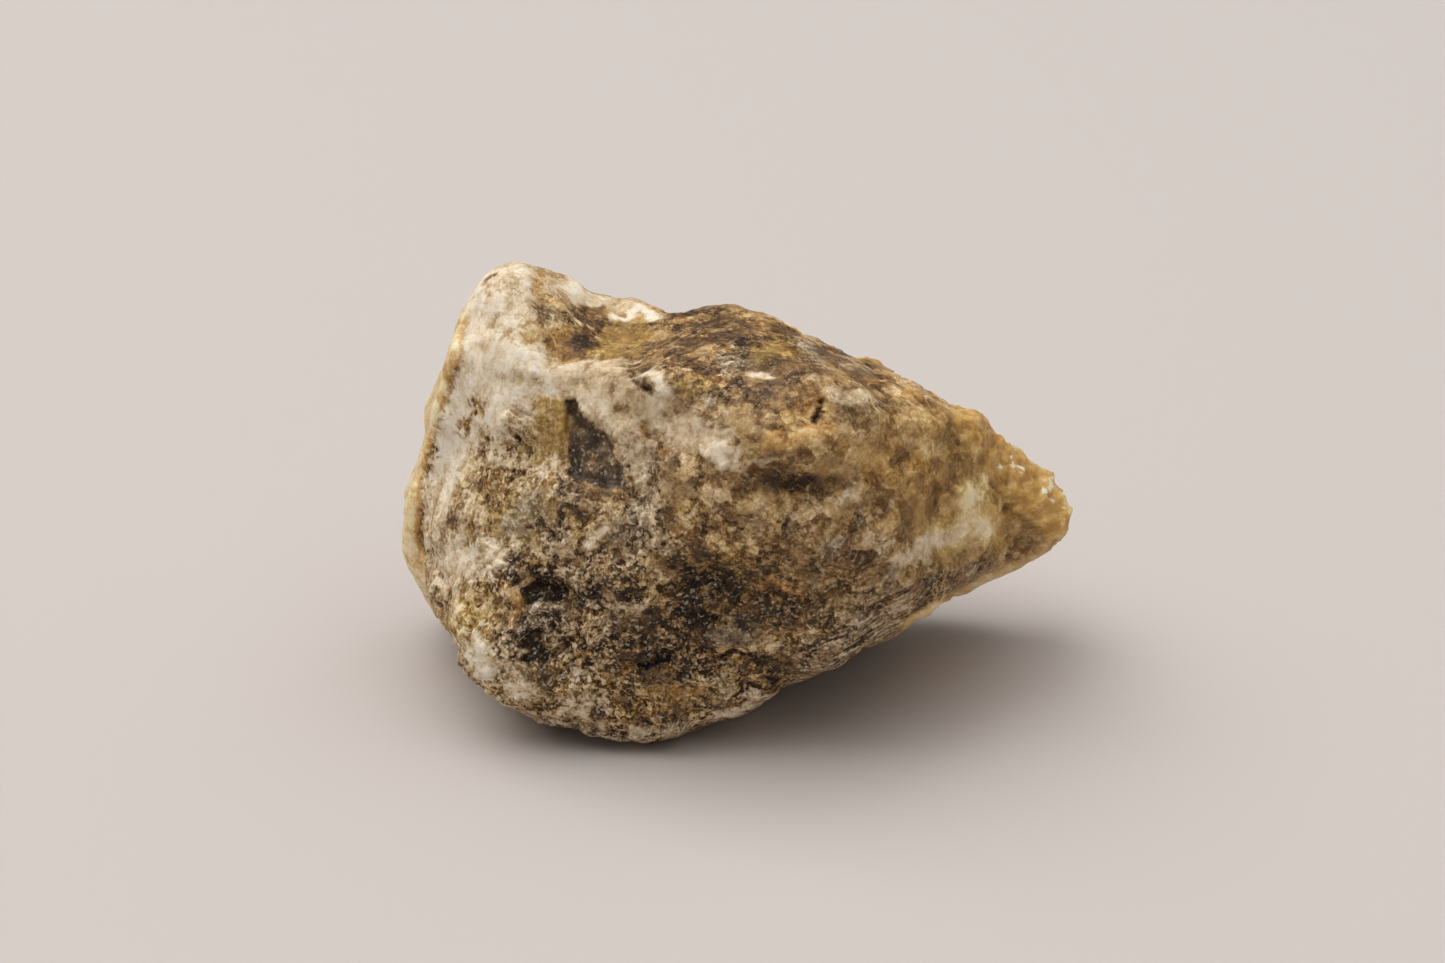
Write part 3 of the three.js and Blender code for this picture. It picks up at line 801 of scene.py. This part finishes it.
for key, values in parts.items():
    attribute = lump.data.attributes.new(key, "FLOAT", "POINT")
    attribute.data.foreach_set("value", values.astype(np.float32))
attribute = lump.data.attributes.new("grainPlace", "FLOAT_VECTOR", "POINT")
attribute.data.foreach_set("vector", grainPlace.astype(np.float32).ravel())


class Wire:
    def __init__(self, paint, socket):
        self.paint, self.socket = paint, socket

    def math(self, operation, first, second):
        return self.paint.add("ShaderNodeMath", {"operation": operation}, {0: first, 1: second})

    def __add__(self, other):
        return self.math("ADD", self, other)

    def __sub__(self, other):
        return self.math("SUBTRACT", self, other)

    def __rsub__(self, other):
        return self.math("SUBTRACT", other, self)

    def __mul__(self, other):
        return self.math("MULTIPLY", self, other)

    __radd__, __rmul__ = __add__, __mul__

    def between(self, low, high):
        return self.paint.add("ShaderNodeMapRange", {"interpolation_type": "SMOOTHSTEP"},
                              {"Value": self, "From Min": low, "From Max": high})


class Paint:
    def __init__(self, name):
        self.material = bpy.data.materials.new(name)
        self.material.use_nodes = True
        self.tree = self.material.node_tree
        self.tree.nodes.clear()

    def add(self, kind, settings=None, sockets=None, out=0):
        node = self.tree.nodes.new(kind)
        for key, value in (settings or {}).items():
            if key == "stops":
                while len(node.color_ramp.elements) < len(value):
                    node.color_ramp.elements.new(0.5)
                for stop, (place, colour) in zip(node.color_ramp.elements, value):
                    stop.position, stop.color = place, (*colour, 1)
            else:
                setattr(node, key, value)
        for key, value in (sockets or {}).items():
            if isinstance(value, Wire):
                self.tree.links.new(value.socket, node.inputs[key])
            else:
                node.inputs[key].default_value = value
        return Wire(self, node.outputs[out]) if len(node.outputs) else None

    def attribute(self, name, out="Fac"):
        return self.add("ShaderNodeAttribute", {"attribute_name": name}, out=out)

    def mix(self, first, second, share):
        return self.add("ShaderNodeMix", {"data_type": "RGBA"},
                        {"Factor": share, 6: first, 7: second}, out=2)

    def shifted(self, place, by):
        return self.add("ShaderNodeVectorMath", {"operation": "ADD"}, {0: place, 1: (by, by, by)})

    def noise(self, place, size, detail, roughness, out="Fac"):
        sockets = {"Vector": place, "Scale": 1 / size, "Detail": detail, "Roughness": roughness}
        return self.add("ShaderNodeTexNoise", None, sockets, out)

    def spread(self, colour, reach, place):
        # moves a place by a colour, up to reach mm each way
        return self.add("ShaderNodeVectorMath", {"operation": "MULTIPLY_ADD"},
                        {0: colour, 1: (reach, reach, reach), 2: place})

    def cells(self, place, size):
        return self.add("ShaderNodeTexVoronoi", None, {"Vector": place, "Scale": 1 / size}, "Color")

    def channel(self, colour, out="Red"):
        return self.add("ShaderNodeSeparateColor", None, {0: colour}, out)

    def surface(self, shader):
        self.add("ShaderNodeOutputMaterial", None, {"Surface": shader})


def rgb(red, green, blue):
    shares = [level / 255 for level in (red, green, blue)]
    return tuple(s / 12.92 if s <= 0.04045 else ((s + 0.055) / 1.055) ** 2.4 for s in shares)


stoneFinish = {
    # ramps from the darkest to the lightest grains: place, red, green, blue
    "base": [(0, 52, 34, 16), (0.35, 116, 84, 48), (0.65, 176, 140, 88), (1, 228, 200, 150)],
    "olive": [(0, 84, 61, 22), (0.4, 148, 115, 56), (0.75, 200, 166, 98), (1, 232, 207, 148)],
    "gold": [(0, 84, 52, 18), (0.4, 150, 106, 50), (0.75, 206, 160, 94), (1, 236, 204, 148)],
    "clear": [(0, 114, 74, 22), (0.4, 178, 132, 56), (0.75, 212, 170, 94), (1, 246, 228, 186)],
    "dark": [(0, 20, 13, 7), (0.5, 64, 43, 21), (1, 146, 106, 55)],
    "grey": [(0, 50, 40, 32), (0.5, 138, 120, 98), (1, 226, 214, 196)],
    "pale": [(0, 158, 124, 84), (0.35, 206, 178, 138), (0.7, 230, 209, 178), (1, 246, 234, 214)],
    # speck colours: the pale specks are partly painted sparkle, and the glints are painted
    # highlights
    "paleSpeckAndSparkle": rgb(234, 216, 184),
    "darkSpeck": rgb(66, 44, 22),
    "glint": rgb(238, 220, 188),
    # sizes in mm, then detail and roughness
    "bend": (1 / 0.7, 3, 0.5),  # bends the crystals' edges
    "shade": (2.0, 3, 0.5),
    "dust": (0.4, 3, 0.6),
    "needles": (0.24, 4, 0.66),
    "strand": (0.34, 3, 0.6),
    # and a shift, for noises that are drawn out where the stone is streaky
    "clumps": (2.4, 6, 0.66, 0.0),
    "spots": (1.4, 4, 0.62, 3.7),
    "stains": (2.2, 3, 0.58, 7.1),
    "speck": (0.42, 4, 0.6, 11.3),
    "bendReach": 0.9,  # mm
    "crystals": (1.5, 0.7, 0.28),  # mm, big, small and sugary ones
    "jumps": (5.0, 1.2),  # mm that the grain jumps from one to the next, big and small
    "grainContrast": 1.15,
    "coverContrast": 1.35,
    "roughness": 0.74,
    "clearRoughness": 0.36,
    "specular": 0.3,
    "bump": 0.5,
    "bumpDepth": 0.0004,  # m
    "glow": {"Subsurface Weight": 0.6, "Subsurface Radius": (1.0, 0.6, 0.25),
             "Subsurface Scale": 0.004, "IOR": 1.55},
}

stone = Paint("orchidCalcite")
part = {key: stone.attribute(key) for key in parts}
inMm = stone.add("ShaderNodeVectorMath", {"operation": "SCALE"},
                 {0: stone.add("ShaderNodeTexCoord", out="Object"), "Scale": 1 / mm})
fibrePlace = stone.attribute("grainPlace", "Vector")

# the grain jumps from crystal to crystal
bigSize, smallSize, sugarSize = stoneFinish["crystals"]
bigJump, smallJump = stoneFinish["jumps"]
bend = stone.noise(inMm, *stoneFinish["bend"], out="Color")
bentPlace = stone.spread(bend, stoneFinish["bendReach"], inMm)
bigCells, smallCells = stone.cells(bentPlace, bigSize), stone.cells(bentPlace, smallSize)
sugarCells = stone.cells(inMm, sugarSize)
bigCrystals, smallCrystals = stone.channel(bigCells), stone.channel(smallCells)
sugarTone, sugarPick = stone.channel(sugarCells), stone.channel(sugarCells, "Green")
brokenPlace = stone.spread(smallCells, smallJump, stone.spread(bigCells, bigJump, inMm))


def noiseFrom(name, place):
    return stone.noise(place, *stoneFinish[name])


def grainNoise(name, place):
    size, detail, roughness, shift = stoneFinish[name]
    plain = stone.noise(stone.shifted(place, shift), size, detail, roughness)
    drawn = stone.noise(stone.shifted(fibrePlace, shift), size * 0.6, detail, roughness)
    return plain + part["streak"] * (drawn - plain)


clumps, stains = grainNoise("clumps", inMm), grainNoise("stains", inMm)
spots, speck = grainNoise("spots", brokenPlace), grainNoise("speck", brokenPlace)
shade = noiseFrom("shade", stone.shifted(inMm, 21.3))
dust = noiseFrom("dust", brokenPlace)
needles = noiseFrom("needles", fibrePlace)
strand = noiseFrom("strand", stone.shifted(fibrePlace, 15.1))
dull = 1 - part["smooth"] * 0.7
drawnOut = part["fibre"] * 0.8 + part["band"] * 1.5 + part["clear"] * 0.5
crumbs = dust - 0.5
coarse = (spots - 0.5) + (bigCrystals - 0.5) * 0.3
grain = crumbs * 0.7 + crumbs * crumbs * 3.2 + (smallCrystals - 0.5) * 0.32
grain = grain + (sugarTone - 0.5) * 0.34 * (1 - part["fibre"] * 0.6)
grain = coarse + grain * part["crisp"]
grain = grain * (1 - part["smooth"] * 0.75) * (1 - part["clear"] * 0.3)
grain = grain * (1.2 - part["pale"] * 0.3) * (1 - part["fibre"] * 0.35)
grain = grain + (needles - 0.5) * drawnOut * 1.3 * dull
value = part["tone"] + grain * stoneFinish["grainContrast"]
# lighter on ridges and darker in hollows: partly painted highlight and painted shade
value = value + part["proud"] * 0.13 + part["chip"] * 0.3


def ramp(name, by):
    stops = [(place, rgb(*levels)) for place, *levels in stoneFinish[name]]
    return stone.add("ShaderNodeValToRGB", {"stops": stops}, {"Fac": by}, out="Color")


def cover(amount, by, edge=0.38, broken=0.3):
    grains = smallCrystals * 0.5 + sugarTone * 0.3 + bigCrystals * 0.2 - 0.5
    ragged = (by - 0.5) * stoneFinish["coverContrast"] + grains * part["crisp"] * broken
    reach = amount + ragged * (1 - part["smooth"] * 0.5)
    return reach.between(0.5 - edge, 0.5 + edge) * amount.between(0.0, 0.12)


# more dark cover in hollows and more white on ridges: dirt and wear, partly painted shade and
# painted highlight
dirtAndHollowShade = part["dark"] - part["proud"] * 0.15
white = part["pale"] + part["proud"] * 0.1
colour = ramp("base", value)
for name, by, share in (("olive", value, cover(part["olive"], stains, broken=0.12)),
                        ("gold", value, cover(part["gold"], 1 - stains, broken=0.12)),
                        ("clear", value, part["clear"]),
                        ("dark", value + 0.25, cover(dirtAndHollowShade, shade, broken=-0.45)),
                        ("grey", value, cover(part["grey"], spots)),
                        ("pale", value, cover(white, clumps, 0.36, 0.35))):
    colour = stone.mix(colour, ramp(name, by), share)

# pale specks, partly painted sparkle, dark specks, and painted glints
paleSpeckAndSparkle = (speck * 0.55 + strand * 0.45).between(0.55, 0.61)
paleSpeckAndSparkle = paleSpeckAndSparkle * (0.3 + part["pale"] * 0.3 + part["dark"] * 0.2 + part["grey"] * 0.35)
darkSpeck = speck.between(0.4, 0.32) * (1 - part["pale"] * 0.6)
darkSpeck = darkSpeck * (0.08 + part["dark"] * 0.3 + part["grey"] * 0.2)
glint = sugarPick.between(0.93, 0.95) * (0.16 + part["pale"] * 0.4 + part["grey"] * 0.3)
for name, share in (("paleSpeckAndSparkle", paleSpeckAndSparkle * dull), ("darkSpeck", darkSpeck * dull),
                    ("glint", glint)):
    colour = stone.mix(colour, (*stoneFinish[name], 1), share * part["crisp"])

bumpHeight = spots * 0.25 + dust * 0.35 + sugarTone * 0.25 + smallCrystals * 0.2
bump = stone.add("ShaderNodeBump", None,
                 {"Strength": stoneFinish["bump"], "Distance": stoneFinish["bumpDepth"],
                  "Height": bumpHeight})
crustRoughness = stoneFinish["roughness"] - (sugarTone - 0.5) * 0.3 - part["smooth"] * 0.3
crust = stone.add("ShaderNodeBsdfPrincipled", None,
                  {"Base Color": colour, "Roughness": crustRoughness,
                   "Specular IOR Level": stoneFinish["specular"], "Normal": bump})
honeyRoughness = stoneFinish["clearRoughness"] + (dust - 0.5) * 0.6
honey = stone.add("ShaderNodeBsdfPrincipled", None,
                  {"Base Color": colour, "Roughness": honeyRoughness, "Normal": bump,
                   **stoneFinish["glow"]})
stone.surface(stone.add("ShaderNodeMixShader", None, {0: part["clear"], 1: crust, 2: honey}))
lump.data.materials.clear()
lump.data.materials.append(stone.material)

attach(lump, "root")
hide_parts("calcite")
print("stone finished")

floorLook = {"half": 4.0, "colour": rgb(200, 191, 185), "roughness": 0.9}  # m
half = floorLook["half"]
corners = [(-half, -half, 0), (half, -half, 0), (half, half, 0), (-half, half, 0)]
floorMesh = bpy.data.meshes.new("floor")
floorMesh.from_pydata(corners, [], [(0, 1, 2, 3)])
floor = added("floor", floorMesh)
cloth = Paint("paleFloor")
cloth.surface(cloth.add("ShaderNodeBsdfPrincipled", None,
                        {"Base Color": (*floorLook["colour"], 1),
                         "Roughness": floorLook["roughness"]}))
floorMesh.materials.append(cloth.material)
print("floor laid")

# places and sizes in m, power in W
lights = {
    "window": dict(at=(-0.5, 0.16, 1.05), size=1.2, power=8.8),
    "ceiling": dict(at=(0.0, -0.05, 1.25), size=1.8, power=11.1),
    "fill": dict(at=(0.75, 0.3, 0.95), size=1.4, power=2.4),
}
heart = Vector(frontLook["heart"]) * mm
for name, light in lights.items():
    lamp = bpy.data.lights.new(name, "AREA")
    lamp.shape, lamp.size, lamp.energy = "SQUARE", light["size"], light["power"]
    stand = added(name, lamp)
    stand.location = light["at"]
    stand.rotation_euler = (heart - Vector(light["at"])).to_track_quat("-Z", "Y").to_euler()

roomLook = {"Color": (0.96, 0.98, 1.0, 1), "Strength": 0.22}
room = bpy.data.worlds.new("softRoom")
scene.world = room
room.use_nodes = True
for socket, setting in roomLook.items():
    room.node_tree.nodes["Background"].inputs[socket].default_value = setting
scene.view_settings.view_transform = "Standard"
print("lit by", ", ".join(lights))

cameraData = bpy.data.cameras.new("camera")
cameraData.lens, cameraData.sensor_width = frontLook["lens"], frontLook["sensor"]
camera = added("camera", cameraData)
aimRight, aimUp = frontLook["aim"]
eye = np.array(frontLook["heart"]) + aimRight * rightAxis + aimUp * upAxis
eye += frontLook["distance"] * nearAxis
camera.location = eye * mm
camera.rotation_euler = (math.pi / 2 - pitch, 0, 0)
scene.camera = camera
print("camera set")
